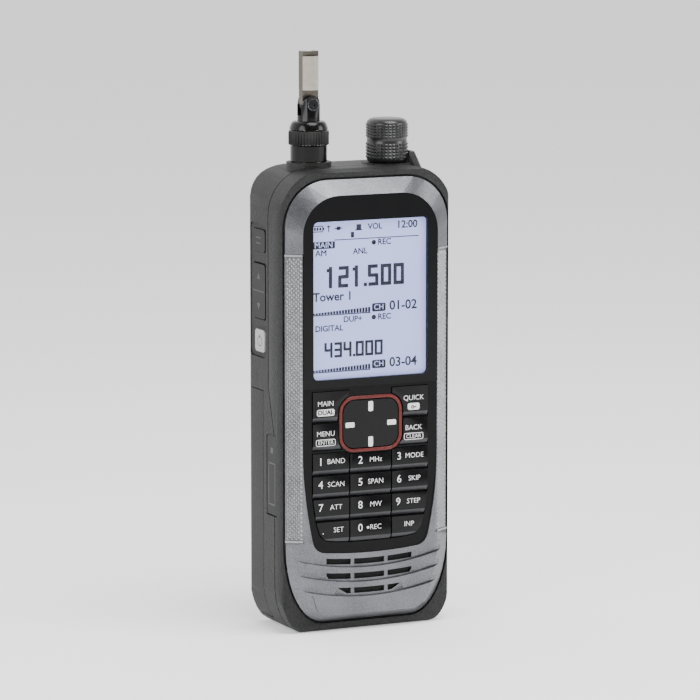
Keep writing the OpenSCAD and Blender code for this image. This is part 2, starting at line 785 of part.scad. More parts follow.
front_case();
rear_case();
front_frame();
display_lens();
lens_mask();
lcd_panel();
lcd_backlight();
keypad_bezel();
keypad_mat();
pad_ring();
main_board();
rf_board();
rf_shields();
chassis();
speaker_basket();
speaker_cone();
speaker_mesh();
bnc_jack();
encoder_body();
case_screws();
earphone_jack();
usb_socket();
card_socket();
battery_contacts();
battery_case();
battery_cells();
battery_latch();
dial_knob();
dial_shaft();
bnc_coupling();
bnc_plug();
antenna_post();
pivot_screw();
whip_link();
whip_sleeve();
whip_tip();
key(0);  // key_1
key(1);  // key_2
key(2);  // key_3
key(3);  // key_4
key(4);  // key_5
key(5);  // key_6
key(6);  // key_7
key(7);  // key_8
key(8);  // key_9
key(9);  // key_dot
key(10);  // key_0
key(11);  // key_input
key(12);  // key_main
key(13);  // key_menu
key(14);  // key_quick
key(15);  // key_clear
pad();
pad_pivot();
side_key();
side_rocker();
power_key();
port_cover();
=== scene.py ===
import json
import math
import bmesh
import bpy
from mathutils import Matrix, Vector

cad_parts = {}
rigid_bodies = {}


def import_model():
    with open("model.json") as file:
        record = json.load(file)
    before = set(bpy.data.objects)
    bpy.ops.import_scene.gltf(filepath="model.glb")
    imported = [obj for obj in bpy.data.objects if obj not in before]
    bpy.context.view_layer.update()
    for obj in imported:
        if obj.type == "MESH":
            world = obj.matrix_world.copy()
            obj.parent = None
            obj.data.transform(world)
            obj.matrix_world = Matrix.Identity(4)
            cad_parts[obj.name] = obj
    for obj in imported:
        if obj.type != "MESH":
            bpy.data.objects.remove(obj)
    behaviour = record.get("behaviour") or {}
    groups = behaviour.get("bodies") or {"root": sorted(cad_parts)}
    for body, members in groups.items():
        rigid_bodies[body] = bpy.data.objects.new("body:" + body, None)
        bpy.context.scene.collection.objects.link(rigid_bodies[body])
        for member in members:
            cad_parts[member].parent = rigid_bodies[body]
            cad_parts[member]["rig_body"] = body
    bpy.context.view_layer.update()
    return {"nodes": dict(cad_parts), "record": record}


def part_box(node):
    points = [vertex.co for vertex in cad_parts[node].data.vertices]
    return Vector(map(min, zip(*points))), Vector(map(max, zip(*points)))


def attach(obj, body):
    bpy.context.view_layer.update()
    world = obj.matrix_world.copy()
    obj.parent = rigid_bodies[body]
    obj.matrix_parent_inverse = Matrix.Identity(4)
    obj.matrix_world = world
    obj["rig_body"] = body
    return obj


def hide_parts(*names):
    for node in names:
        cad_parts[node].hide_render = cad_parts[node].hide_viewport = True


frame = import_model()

mm = 0.001
nodes = frame["nodes"]


# sRGB hex to linear rgba
def tint(hexText):
    def linear(c):
        return c / 12.92 if c <= 0.04045 else ((c + 0.055) / 1.055) ** 2.4
    return tuple(linear(int(hexText[i:i + 2], 16) / 255) for i in (1, 3, 5)) + (1.0,)


# adds one shader node with its settings and its links: {input name: (node, output name)}
def addNode(material, kind, settings=None, links=None, **values):
    node = material.node_tree.nodes.new(kind)
    for key, value in values.items():
        setattr(node, key, value)
    for key, value in (settings or {}).items():
        node.inputs[key].default_value = value
    for key, (source, output) in (links or {}).items():
        material.node_tree.links.new(source.outputs[output], node.inputs[key])
    return node


def link(material, source, output, target, socket):
    material.node_tree.links.new(source.outputs[output], target.inputs[socket])


def newMaterial(name, colour, **sockets):
    material = bpy.data.materials.new(name)
    material.use_nodes = True
    shader = material.node_tree.nodes["Principled BSDF"]
    shader.inputs["Base Color"].default_value = tint(colour)
    for key, value in sockets.items():
        shader.inputs[key.replace("_", " ")].default_value = value
    return material, shader


# a moulded or cast surface: grain of a real size, with a slight change of colour and of roughness
def surface(name, dark, light, grainMm, bumpMm, rough, **sockets):
    material, shader = newMaterial(name, light, **sockets)
    place = addNode(material, "ShaderNodeTexCoord")
    grain = addNode(material, "ShaderNodeTexNoise", {"Scale": 1 / (grainMm * mm), "Detail": 3.0},
                    {"Vector": (place, "Object")})
    cloud = addNode(material, "ShaderNodeTexNoise", {"Scale": 1 / (14 * mm), "Detail": 2.0},
                    {"Vector": (place, "Object")})
    both = addNode(material, "ShaderNodeMix", {"Factor": 0.35},
                   {"A": (grain, "Fac"), "B": (cloud, "Fac")})
    ramp = addNode(material, "ShaderNodeValToRGB", links={"Fac": (both, "Result")})
    ramp.color_ramp.elements[0].position = 0.36
    ramp.color_ramp.elements[1].position = 0.64
    ramp.color_ramp.elements[0].color = tint(dark)
    ramp.color_ramp.elements[1].color = tint(light)
    gloss = addNode(material, "ShaderNodeMapRange", {"To Min": rough[0], "To Max": rough[1]},
                    {"Value": (cloud, "Fac")})
    bump = addNode(material, "ShaderNodeBump", {"Strength": 0.7, "Distance": bumpMm * mm},
                   {"Height": (grain, "Fac")})
    link(material, ramp, "Color", shader, "Base Color")
    link(material, gloss, "Result", shader, "Roughness")
    link(material, bump, "Normal", shader, "Normal")
    return material


# ABS moulded against spark-eroded steel: a matt, sandy grain
sparkedAbs = surface("sparkedAbs", "#020202", "#232324", 0.56, 0.35, (0.48, 0.66), Specular_IOR_Level=0.35)
# the battery pack's ABS has a finer grain and is a shade darker
fineAbs = surface("fineAbs", "#060606", "#1d1d1e", 0.6, 0.2, (0.5, 0.62), Specular_IOR_Level=0.3)
# polycarbonate under metallic silver paint: a satin sheen with fine flakes
silverPaint = surface("silverPaint", "#55565a", "#797a7e", 0.34, 0.02, (0.26, 0.36),
                      Metallic=0.8, Coat_Weight=0.1, Coat_Roughness=0.3)
# the same paint, lighter on the knurl pyramids and lips: a painted highlight against the darker frame between
# them
knurlHighlightPaint = surface("knurlHighlightPaint", "#8f9093", "#a2a3a6", 3.0, 0.002, (0.3, 0.36), Metallic=0.7)
# polished acrylic, printed black on its back
blackAcrylic = surface("blackAcrylic", "#050507", "#08080a", 6.0, 0.002, (0.07, 0.12),
                       Specular_IOR_Level=0.14)
# glossy moulded polycarbonate of the keys
keyPolycarbonate = surface("keyPolycarbonate", "#060607", "#0b0b0d", 1.5, 0.006, (0.2, 0.3),
                           Specular_IOR_Level=0.2)
# the same for the plate that the keys stand in, with less gloss
bezelPolycarbonate = surface("bezelPolycarbonate", "#030304", "#070708", 1.5, 0.006, (0.24, 0.34),
                             Specular_IOR_Level=0.14)
# the keys' lower slopes, a little more matt, and painted a shade lighter: a painted reflection of the floor
slopeReflectionPolycarbonate = surface("slopeReflectionPolycarbonate", "#1d1d20", "#29292d", 1.5, 0.006, (0.3, 0.4))
# anodised red trim
redTrim = surface("redTrim", "#430f0d", "#65201c", 0.5, 0.008, (0.2, 0.3), Metallic=0.4)
# moulded silicone rubber: matt, and it catches dust
siliconeRubber = surface("siliconeRubber", "#0c0c0d", "#161617", 0.4, 0.05, (0.5, 0.65),
                         Specular_IOR_Level=0.35)
# harder rubber, rubbed to a slight shine by fingers
dialRubber = surface("dialRubber", "#121213", "#202022", 0.5, 0.02, (0.26, 0.38))
# satin grey polycarbonate of the power key
greyPolycarbonate = surface("greyPolycarbonate", "#8b8c8b", "#a5a6a5", 0.8, 0.01, (0.38, 0.48))
# black chrome over turned brass: dark, with sharp lights
blackChrome = surface("blackChrome", "#070708", "#101012", 0.6, 0.004, (0.16, 0.24), Metallic=0.4)
# the same, painted grey for the ring round the tilt screw: a painted highlight
rimHighlightChrome = surface("rimHighlightChrome", "#3a3a3d", "#55555a", 0.6, 0.004, (0.2, 0.3), Metallic=0.6)
# bright nickel plate on the whip
brightNickel = surface("brightNickel", "#c2baad", "#d2cabd", 2.0, 0.001, (0.05, 0.09), Metallic=1.0)
# the whip's flats, rougher, and painted much darker than the barrel: painted shade
shadedFlatNickel = surface("shadedFlatNickel", "#58534c", "#6a655d", 0.5, 0.004, (0.3, 0.42), Metallic=1.0)
# nickel plate on brass contacts and connectors
nickelBrass = surface("nickelBrass", "#b0a890", "#cdc6b2", 1.0, 0.006, (0.22, 0.32), Metallic=1.0)
# zinc-plated pressed steel of the inner cans and the speaker
platedSteel = surface("platedSteel", "#77787a", "#9a9b9d", 0.8, 0.008, (0.3, 0.42), Metallic=1.0)
# die-cast aluminium frame inside
castAlloy = surface("castAlloy", "#85878a", "#a4a6a8", 0.4, 0.04, (0.42, 0.55), Metallic=1.0)
# green lacquer on the circuit boards
solderMask = surface("solderMask", "#0f4a2a", "#1b6039", 1.4, 0.02, (0.32, 0.42))
# the speaker: coated paper under an acoustic cloth
paperCone = surface("paperCone", "#1a1a1a", "#2a2a29", 0.3, 0.05, (0.8, 0.9))
acousticCloth = surface("acousticCloth", "#0c0c0c", "#1c1c1c", 0.35, 0.08, (0.85, 0.95))
# shrink wrap on the cells
cellWrap = surface("cellWrap", "#274f79", "#35628d", 4.0, 0.01, (0.3, 0.4))
# milky light guide behind the display
diffuserAcrylic = surface("diffuserAcrylic", "#d9dbdd", "#e9ebec", 2.0, 0.004, (0.4, 0.5))
# white screen-printed ink
legendInk = surface("legendInk", "#d8d9d9", "#eeeeee", 0.6, 0.002, (0.5, 0.6))
# dark liquid crystal segments
crystalInk = surface("crystalInk", "#04071f", "#080c2c", 1.0, 0.002, (0.5, 0.6))


# backlit liquid crystal glass, pale lavender, its brightness varying a little at random
def makeLcdGlass():
    material, shader = newMaterial("lcdGlass", "#9ea8d8", Roughness=0.5)
    place = addNode(material, "ShaderNodeTexCoord")
    cloud = addNode(material, "ShaderNodeTexNoise", {"Scale": 1 / (25 * mm), "Detail": 1.0},
                    {"Vector": (place, "Object")})
    ramp = addNode(material, "ShaderNodeValToRGB", links={"Fac": (cloud, "Fac")})
    ramp.color_ramp.elements[0].color = tint("#8d97d0")
    ramp.color_ramp.elements[1].color = tint("#a4addd")
    link(material, ramp, "Color", shader, "Base Color")
    link(material, ramp, "Color", shader, "Emission Color")
    shader.inputs["Emission Strength"].default_value = 0.9
    return material


lcdGlass = makeLcdGlass()


# clear acrylic of the window
def makeClearAcrylic():
    material, shader = newMaterial("clearAcrylic", "#050505", Roughness=0.03, IOR=1.49)
    shader.inputs["Alpha"].default_value = 0.03
    place = addNode(material, "ShaderNodeTexCoord")
    smear = addNode(material, "ShaderNodeTexNoise", {"Scale": 1 / (9 * mm), "Detail": 2.0},
                    {"Vector": (place, "Object")})
    gloss = addNode(material, "ShaderNodeMapRange", {"To Min": 0.02, "To Max": 0.09},
                    {"Value": (smear, "Fac")})
    link(material, gloss, "Result", shader, "Roughness")
    return material


clearAcrylic = makeClearAcrylic()
print("materials made")


def finishPiece(mesh, name, material, body, bevelMm=0.0, smooth=35):
    piece = bpy.data.objects.new(name, mesh)
    bpy.context.scene.collection.objects.link(piece)
    mesh.materials.clear()
    mesh.materials.append(material)
    mesh.shade_smooth()
    mesh.set_sharp_from_angle(angle=math.radians(smooth))
    if bevelMm:
        edge = piece.modifiers.new("edge", "BEVEL")
        edge.width = bevelMm * mm
        edge.segments = 2
        edge.profile = 0.5
        edge.limit_method = "ANGLE"
        edge.angle_limit = math.radians(32)
        edge.use_clamp_overlap = True
        edge.harden_normals = True
    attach(piece, body)
    return piece


def bodyOf(node):
    return nodes[node]["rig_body"]


slotOf = {row["node"]: row["material_slot"] for row in frame["record"]["subparts"]}


# a merged copy of a CAD node, ready to be cut and rounded
def merged(node, plain=False):
    bm = bmesh.new()
    bm.from_mesh(nodes[node].data)
    bmesh.ops.remove_doubles(bm, verts=bm.verts, dist=0.002 * mm)
    if plain:
        return bm
    bmesh.ops.dissolve_limit(bm, angle_limit=math.radians(1.5), verts=bm.verts, edges=bm.edges)
    return bm


def toMesh(bm, name):
    mesh = bpy.data.meshes.new(name)
    bm.to_mesh(mesh)
    bm.free()
    return mesh


# the same solid as the CAD node, with worn, rounded edges
def rounded(node, material, bevelMm, plain=False, smooth=35):
    piece = finishPiece(toMesh(merged(node, plain), node + "Form"), node + "Form", material, bodyOf(node),
                        bevelMm, smooth)
    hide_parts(node)
    return piece


cadLooks = {
    "lens_mask": blackAcrylic, "lcd_panel": lcdGlass, "lcd_backlight": diffuserAcrylic,
    "keypad_mat": siliconeRubber, "main_board": solderMask, "rf_board": solderMask,
    "rf_shields": platedSteel, "chassis": castAlloy, "speaker_basket": platedSteel,
    "speaker_cone": paperCone, "speaker_mesh": acousticCloth, "bnc_jack": nickelBrass,
    "encoder_body": platedSteel, "case_screws": blackChrome, "earphone_jack": siliconeRubber,
    "usb_socket": platedSteel, "card_socket": platedSteel, "battery_contacts": nickelBrass,
    "battery_cells": cellWrap, "dial_shaft": platedSteel, "bnc_plug": nickelBrass,
    "whip_sleeve": brightNickel, "whip_tip": brightNickel,
    "pad_pivot": platedSteel, "keypad_bezel": bezelPolycarbonate,
}
for node, look in cadLooks.items():
    nodes[node].data.materials.clear()
    nodes[node].data.materials.append(look)

rounded("battery_case", fineAbs, 0.25)
rounded("battery_latch", siliconeRubber, 0.15)
rounded("antenna_post", blackChrome, 0.12)
# the whip: a polished barrel between rougher flats, the flats painted darker as painted shade
barrel = {"low": 166.6, "high": 177.2}
whip = rounded("whip_link", brightNickel, 0.15)
whip.data.materials.append(shadedFlatNickel)
# faces turned to the sides, up or down, and those off the barrel, get the darker nickel: painted shade
for face in whip.data.polygons:
    onBarrel = barrel["low"] * mm < face.center.z < barrel["high"] * mm
    if abs(face.normal.x) > 0.95 or abs(face.normal.z) > 0.95 or not onBarrel:
        face.material_index = 1
rounded("pad_ring", redTrim, 0.28)
rounded("pivot_screw", blackChrome, 0.1)
rounded("front_frame", silverPaint, 0.13, plain=True, smooth=18)
rounded("front_case", sparkedAbs, 0.22)
rounded("rear_case", sparkedAbs, 0.22)
rounded("side_key", siliconeRubber, 0.25)
rounded("side_rocker", siliconeRubber, 0.25)
rounded("power_key", greyPolycarbonate, 0.25)
rounded("port_cover", siliconeRubber, 0.15)
print("CAD nodes finished")

# lens: a black border with an opening, and the clear window that fills it
lens = {"radius": 1.6, "half": 19.3, "low": 79.0, "high": 127.6, "steps": 6}


def windowRing(bm, y, inset):
    corners = [(1, 1, 0), (-1, 1, 90), (-1, -1, 180), (1, -1, 270)]
    middle = (lens["low"] + lens["high"]) / 2
    tall = (lens["high"] - lens["low"]) / 2 - inset
    wide = lens["half"] - inset
    ring = []
    for sx, sz, start in corners:
        for i in range(lens["steps"] + 1):
            turn = math.radians(start + 90 * i / lens["steps"])
            x = sx * (wide - lens["radius"]) + lens["radius"] * math.cos(turn)
            z = middle + sz * (tall - lens["radius"]) + lens["radius"] * math.sin(turn)
            ring.append(bm.verts.new((x * mm, y, z * mm)))
    return ring


def makeWindowSolid(name, y0, y1, inset):
    bm = bmesh.new()
    front = bm.faces.new(windowRing(bm, y0, inset))
    pushed = bmesh.ops.extrude_face_region(bm, geom=[front])
    moved = [v for v in pushed["geom"] if isinstance(v, bmesh.types.BMVert)]
    bmesh.ops.translate(bm, verts=moved, vec=(0, y1 - y0, 0))
    bmesh.ops.recalc_face_normals(bm, faces=bm.faces)
    return toMesh(bm, name)


def makeLens():
    low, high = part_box("display_lens")
    border = finishPiece(toMesh(merged("display_lens"), "lensBorder"), "lensBorder", blackAcrylic,
                         bodyOf("display_lens"))
    cutter = bpy.data.objects.new("cutter", makeWindowSolid("cutter", low.y - mm, high.y + mm, 0))
    bpy.context.scene.collection.objects.link(cutter)
    cut = border.modifiers.new("window", "BOOLEAN")
    cut.object = cutter
    cut.solver = "EXACT"
    bpy.context.view_layer.update()
    shape = bpy.data.meshes.new_from_object(border.evaluated_get(bpy.context.evaluated_depsgraph_get()))
    border.modifiers.clear()
    border.data = shape
    bpy.data.objects.remove(cutter)
    shape.set_sharp_from_angle(angle=math.radians(35))
    window = finishPiece(makeWindowSolid("lensWindow", low.y + 0.02 * mm, high.y, 0.02), "lensWindow",
                         clearAcrylic, bodyOf("display_lens"))
    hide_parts("display_lens")
    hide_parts("display_lens")


makeLens()

# keys: the CAD outline with a sloping lower face, and legends
keySize = {"slopeTall": 1.45, "slopeDeep": 0.7, "sink": 0.08, "round": 0.16, "foot": 0.15}


def makeKey(node):
    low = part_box(node)[0]
    bm = merged(node)
    cut = low.z + (keySize["foot"] + keySize["slopeTall"]) * mm
    bmesh.ops.bisect_plane(bm, geom=bm.verts[:] + bm.edges[:] + bm.faces[:], plane_co=(0, 0, cut),
                           plane_no=(0, 0, 1))
    for v in bm.verts:
        if v.co.y < low.y + 0.05 * mm:
            below = max(0.0, cut - v.co.z) / (keySize["slopeTall"] * mm)
            v.co.y += keySize["sink"] * mm + keySize["slopeDeep"] * mm * min(1.0, below)
    piece = finishPiece(toMesh(bm, node + "Cap"), node + "Cap", keyPolycarbonate, bodyOf(node),
                        keySize["round"])
    # faces sloping down and forward get the lighter copy: a painted reflection
    piece.data.materials.append(slopeReflectionPolycarbonate)
    for face in piece.data.polygons:
        if face.normal.z < -0.2 and face.normal.y < -0.3:
            face.material_index = 1
    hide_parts(node)


# flat letters standing a hair proud of a face that looks towards -Y
def makeLabel(name, words, x, z, tall, y, material, body, thick=0.03, align="CENTER", bold=0.0):
    curve = bpy.data.curves.new(name, "FONT")
    curve.body = words
    curve.align_x = align
    curve.align_y = "CENTER"
    curve.size = tall * 1.4 * mm
    curve.extrude = thick / 2 * mm
    curve.resolution_u = 3
    curve.offset = bold * mm
    holder = bpy.data.objects.new(name, curve)
    bpy.context.scene.collection.objects.link(holder)
    bpy.context.view_layer.update()
    mesh = bpy.data.meshes.new_from_object(holder.evaluated_get(bpy.context.evaluated_depsgraph_get()))
    bpy.data.objects.remove(holder)
    mesh.transform(Matrix.Translation((x * mm, y, z * mm)) @ Matrix.Rotation(math.radians(90), 4, "X"))
    return finishPiece(mesh, name, material, body)


# key name: digit, word, column centre
numberKeys = {
    "key_1": ("1", "BAND", -13.4), "key_2": ("2", "MHz", 0), "key_3": ("3", "MODE", 13.2),
    "key_4": ("4", "SCAN", -13.4), "key_5": ("5", "SPAN", 0), "key_6": ("6", "SKIP", 13.2),
    "key_7": ("7", "ATT", -13.4), "key_8": ("8", "MW", 0), "key_9": ("9", "STEP", 12.9),
    "key_dot": (".", "SET", -12.6), "key_0": ("0", "REC", 0), "key_input": ("", "INP", 11.4),
}
# key name: word, word in the tag, tag width, whether the tag is filled
functionKeys = {
    "key_main": ("MAIN", "DUAL", 5.9, True), "key_menu": ("MENU", "ENTER", 6.6, False),
    "key_quick": ("QUICK", "", 4.0, True), "key_clear": ("BACK", "CLEAR", 6.6, False),
}


def makeKeypad():
    for node, (digit, word, centre) in numberKeys.items():
        makeKey(node)
        low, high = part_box(node)
        y = low.y + 0.07 * mm
        z = (low.z + high.z) / 2 / mm + 0.7
        if digit:
            makeLabel(node + "Digit", digit, centre - 3.5, z, 2.4, y, legendInk, bodyOf(node))
        if word:
            makeLabel(node + "Word", word, centre + 1.7, z, 1.6, y, legendInk, bodyOf(node),
                      bold=-0.02)
        if word == "REC":
            makeBar(node + "Dot", centre - 0.9, z, 0.8, 0.8, y, legendInk, bodyOf(node), 0.38)
    for node, (word, second, wide, filled) in functionKeys.items():
        makeKey(node)
        low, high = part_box(node)
        x = -15.2 if low.x < 0 else 14.6
        z = (low.z + high.z) / 2 / mm
        y = low.y + 0.07 * mm
        makeLabel(node + "Word", word, x, z + 1.0, 1.6, y, legendInk, bodyOf(node), bold=-0.02)
        makeBar(node + "Tag", x, z - 1.7, wide, 2.1, y, legendInk, bodyOf(node), 0.6)
        if not filled:
            makeBar(node + "TagField", x, z - 1.7, wide - 0.4, 1.7, y - 0.02 * mm, keyPolycarbonate,
                    bodyOf(node), 0.4)
        makeLabel(node + "Second", second or "o-", x, z - 1.7, 1.45 if filled else 1.25, y - 0.04 * mm,
                  keyPolycarbonate if filled else legendInk, bodyOf(node),
                  bold=0.065 if filled else -0.01)
    print("keypad made")


# a flat bar with rounded corners on a face that looks towards -Y
def makeBar(name, x, z, wide, tall, y, material, body, radius=0.0, thick=0.03):
    bm = bmesh.new()
    bmesh.ops.create_cube(bm, size=1, matrix=Matrix.Translation((x * mm, y, z * mm)) @ Matrix.Diagonal(
        (wide * mm, thick * mm, tall * mm, 1)))
    if radius:
        upright = [e for e in bm.edges if abs(e.verts[0].co.y - e.verts[1].co.y) > 0.001 * mm]
        bmesh.ops.bevel(bm, geom=upright, offset=radius * mm, affect="EDGES", segments=4, profile=0.5,
                        material=-1)
    return finishPiece(toMesh(bm, name), name, material, body)


def makePad():
    rounded("pad", keyPolycarbonate, 0.35)
    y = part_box("pad")[0].y - 0.005 * mm
    marks = {"Up": (0, 69.95, 1.6, 3.1), "Down": (0, 58.95, 1.6, 3.1),
             "Left": (-7.0, 64.5, 3.0, 1.6), "Right": (7.1, 64.5, 3.0, 1.6)}
    for word, (x, z, wide, tall) in marks.items():
        makeBar("pad" + word, x, z, wide, tall, y, legendInk, bodyOf("pad"), 0.35)


# marks on the side keys and on the jack cover, moulded a hair proud of faces that look towards -X
sideMarks = {
    "rockerSplit": ("side_rocker", 4.6, 104.85, 8.2, 0.35), "keyMark1": ("side_key", 4.6, 121.4, 3.6, 0.4),
    "keyMark2": ("side_key", 4.6, 119.7, 3.6, 0.4), "powerBar": ("power_key", 3.8, 90.9, 0.4, 1.3),
    "coverRib1": ("port_cover", -5.1, 52.6, 4.6, 0.35), "coverRib2": ("port_cover", -5.1, 39.8, 4.6, 0.35),
    "coverRib3": ("port_cover", -7.4, 46.2, 0.35, 13.1), "coverRib4": ("port_cover", -2.8, 46.2, 0.35, 13.1),
    "coverDot": ("port_cover", -5.1, 56.6, 1.6, 1.6),
}


markThick = 0.06


def makeSideMarks():
    for name, (node, y, z, deep, tall) in sideMarks.items():
        bm = bmesh.new()
        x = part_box(node)[0].x
        bmesh.ops.create_cube(bm, size=1, matrix=Matrix.Translation((x, y * mm, z * mm)) @ Matrix.Diagonal(
            (markThick * mm, deep * mm, tall * mm, 1)))
        finishPiece(toMesh(bm, name), name, dialRubber, bodyOf(node))
    for name, node, z, turn, sides, size in (("rockerUp", "side_rocker", 109.3, -90, 3, 1.4),
                                             ("rockerDown", "side_rocker", 100.4, 90, 3, 1.4),
                                             ("powerRing", "power_key", 89.4, 0, 28, 1.6)):
        bm = bmesh.new()
        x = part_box(node)[0].x
        y = 3.8 if node == "power_key" else 4.6
        stand = Matrix.Translation((x, y * mm, z * mm)) @ Matrix.Rotation(math.radians(-90), 4, "Y")
        bmesh.ops.create_cone(bm, cap_ends=True, segments=sides, radius1=size * mm, radius2=size * mm,
                              depth=markThick * mm, matrix=stand @ Matrix.Rotation(math.radians(turn), 4, "Z"))
        if node == "power_key":
            front = min(bm.faces, key=lambda f: f.calc_center_median().x)
            bmesh.ops.inset_region(bm, faces=[front], thickness=0.4 * mm)
            bmesh.ops.translate(bm, verts=front.verts[:], vec=(0.05 * mm, 0, 0))
        finishPiece(toMesh(bm, name), name, dialRubber, bodyOf(node))


makeKeypad()
makePad()
makeSideMarks()

# display content: generic numbers and signs
glass = {"y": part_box("lcd_panel")[0].y - 0.02 * mm, "body": bodyOf("lcd_panel"), "slot": slotOf["lcd_panel"]}
segments = {"a": (0, 1, 1, 0), "g": (0, 0, 1, 0), "d": (0, -1, 1, 0), "b": (1, 0.5, 0, 1),
            "c": (1, -0.5, 0, 1), "e": (-1, -0.5, 0, 1), "f": (-1, 0.5, 0, 1)}
digitParts = {"0": "abcdef", "1": "bc", "2": "abged", "3": "abgcd", "4": "fgbc", "5": "afgcd",
              "6": "afgedc", "7": "abc", "8": "abcdefg", "9": "abcdfg"}


def makeNumber(name, words, x, z, wide, tall, stroke, pitch):
    bm = bmesh.new()
    for letter in words:
        if letter == ".":
            boxes = [(x - pitch * 0.3, z - tall / 2 + stroke / 2, stroke, stroke, 0.02)]
        elif letter == "1":
            boxes = [(x, z, stroke, tall, 0.03),
                     (x - stroke * 0.7, z + tall / 2 - stroke, stroke * 0.9, stroke * 0.9, 0.02)]
        else:
            boxes = []
            for part in digitParts[letter]:
                sx, sz, flat, upright = segments[part]
                w = wide - stroke * 0.4 if flat else stroke
                h = tall / 2 + stroke * 0.3 if upright else stroke
                across = sx * (wide - stroke) / 2
                up = sz * (tall - (stroke * 0.6 if upright else stroke)) / 2
                boxes.append((x + across, z + up, w, h, 0.03 + 0.01 * sz if upright else 0.02))
        for bx, bz, w, h, thick in boxes:
            bmesh.ops.create_cube(bm, size=1, matrix=Matrix.Translation((bx * mm, glass["y"], bz * mm))
                                  @ Matrix.Diagonal((w * mm, thick * mm, h * mm, 1)))
        x += pitch * (0.3 if letter == "." else 1)
    finishPiece(toMesh(bm, name), name, crystalInk, glass["body"])


def screenText(name, words, x, z, tall, align="CENTER", material=None, lift=0.0, bold=0.025):
    makeLabel(name, words, x, z, tall, glass["y"] - lift * mm, material or crystalInk, glass["body"],
              0.02, align, 0 if lift or not bold else 0.01 + tall * bold)


def screenBar(name, x, z, wide, tall, radius=0.0):
    makeBar(name, x, z, wide, tall, glass["y"], crystalInk, glass["body"], radius, 0.02)


def makeScreen():
    screenText("screenClock", "12:00", 16.4, 125.4, 2.3, "RIGHT")
    screenText("screenVolume", "VOL", 2.0, 125.3, 1.8)
    screenBar("screenRule1", 2.6, 121.75, 28.6, 0.28)
    screenBar("screenMain", -15.3, 120.3, 7.6, 2.2, 0.2)
    screenText("screenMainWord", "MAIN", -15.3, 120.3, 1.8, material=lcdGlass, lift=0.03)
    screenText("screenMode1", "AM", -16.2, 117.8, 1.9, bold=0)
    screenText("screenMode1Heavy", "AM", -16.08, 117.8, 1.9, lift=0.004)
    screenText("screenLimiter", "ANL", -3.0, 117.9, 1.8)
    screenText("screenRecord1", "REC", 5.2, 120.4, 1.8)
    makeNumber("screenNumber1", "121.500", -13.0, 110.3, 3.6, 6.6, 1.12, 4.35)
    screenText("screenPlace", "Tower 1", -18.9, 104.3, 2.7, "LEFT")
    screenText("screenMode2", "DIGITAL", -18.2, 94.6, 1.8, "LEFT")
    screenText("screenShift", "DUP+", -5.5, 97.1, 1.8)
    screenText("screenRecord2", "REC", 5.2, 97.3, 1.8)
    makeNumber("screenNumber2", "434.000", -13.7, 87.9, 2.75, 4.7, 0.8, 3.2)
    for row, (z, place) in enumerate(((99.0, "01-02"), (81.4, "03-04"))):
        screenBar(f"screenRule{row + 2}", -9.2, z - 0.2, 19.4, 0.3)
        for i in range(20):
            tall = 0.5 + 0.055 * i
            screenBar(f"screenMeter{row}_{i}", -18.6 + 0.98 * i, z + tall / 2, 0.74, tall)
        screenBar(f"screenBox{row}", 3.3, z + 1.3, 4.6, 2.6, 0.5)
        screenText(f"screenBoxWord{row}", "CH", 3.3, z + 1.3, 1.7, material=lcdGlass, lift=0.03)
        screenText(f"screenChannel{row}", place, 16.3, z + 1.5, 2.9, "RIGHT")
        bm = bmesh.new()
        bmesh.ops.create_cone(bm, cap_ends=True, segments=20, radius1=0.75 * mm, radius2=0.75 * mm,
                              depth=0.02 * mm, matrix=Matrix.Translation((1.6 * mm, glass["y"], (
                                  120.4 - 23.1 * row) * mm)) @ Matrix.Rotation(math.radians(90), 4, "X"))
        finishPiece(toMesh(bm, f"screenDot{row}"), f"screenDot{row}", crystalInk, glass["body"])
    # battery sign: a case with three cells
    for name, x, z, wide, tall in (
            ("BatteryTop", -17.3, 126.2, 3.7, 0.25), ("BatteryFoot", -17.3, 124.5, 3.7, 0.25),
            ("BatteryLeft", -19.0, 125.35, 0.25, 1.9), ("BatteryRight", -15.6, 125.35, 0.25, 1.9),
            ("BatteryTip", -15.25, 125.35, 0.4, 0.8), ("Cell1", -18.2, 125.35, 0.6, 0.9),
            ("Cell2", -17.3, 125.35, 0.6, 0.9), ("Cell3", -16.4, 125.35, 0.6, 0.9),
            # aerial sign, plug sign, a card and a bell
            ("Mast", -13.6, 125.3, 0.3, 2.1), ("MastArm", -13.6, 125.9, 1.3, 0.3),
            ("Plug", -10.3, 125.3, 1.2, 1.1), ("PlugCord", -10.3, 125.3, 2.7, 0.3),
            ("Bell", -3.5, 125.4, 1.6, 1.6), ("BellFoot", -3.5, 124.5, 2.3, 0.35),
            ("Card", -5.6, 123.1, 1.1, 1.7)):
        screenBar("screen" + name, x, z, wide, tall)
    print("screen made")


makeScreen()

# diamond knurling on the frame's side facets: rows of small pyramids between two plain lips;
# the real knurling is nearer 0.9 mm, which is too fine to show
knurl = {"low": 29.6, "high": 117.2, "pitch": 1.36, "across": 4, "height": 0.46, "sink": 0.42, "lip": 0.7,
         "lipDeep": 0.5, "flatWide": 4.6, "flatDeep": 3.05}


def addPyramid(bm, centre, along, across, out):
    corners = [centre + along, centre + across, centre - along, centre - across]
    base = [bm.verts.new(c) for c in corners]
    top = bm.verts.new(centre + out)
    for i in range(4):
        bm.faces.new((base[i], base[(i + 1) % 4], top))
    bm.faces.new(base[::-1])


